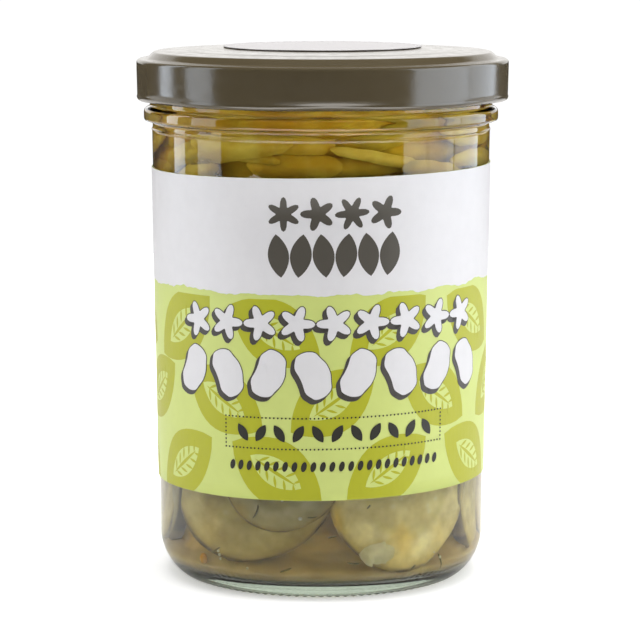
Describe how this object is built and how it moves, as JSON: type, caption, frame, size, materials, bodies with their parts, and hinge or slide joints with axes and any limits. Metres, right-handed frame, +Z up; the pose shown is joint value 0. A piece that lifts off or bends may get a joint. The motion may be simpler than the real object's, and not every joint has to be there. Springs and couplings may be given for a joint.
{
  "type": "jar of sliced pickles",
  "caption": "Straight-sided clear glass jar with a twist-off metal lid and a paper wrap label, packed with sliced cucumber pickles in brine.",
  "frame": {"origin": "middle of the base, on the surface that the jar stands on", "axes": "+Z up along the jar's axis, the label's front faces -Y, +X to the right seen from the front"},
  "size_m": [0.0849, 0.0848, 0.1206],
  "materials": {
    "glass": "clear soda-lime glass with a faint green edge",
    "lid_enamel": "glossy dark enamel on tinplate",
    "seal_paper": "smooth coated paper",
    "label_paper": "printed coated paper, satin, white above and green below",
    "pickle": "wet translucent cucumber slices in golden brine"
  },
  "bodies": {
    "root": {"jar_glass": "glass", "lid": "lid_enamel", "lid_seal": "seal_paper", "label": "label_paper", "pickles": "pickle"}
  },
  "joints": []
}
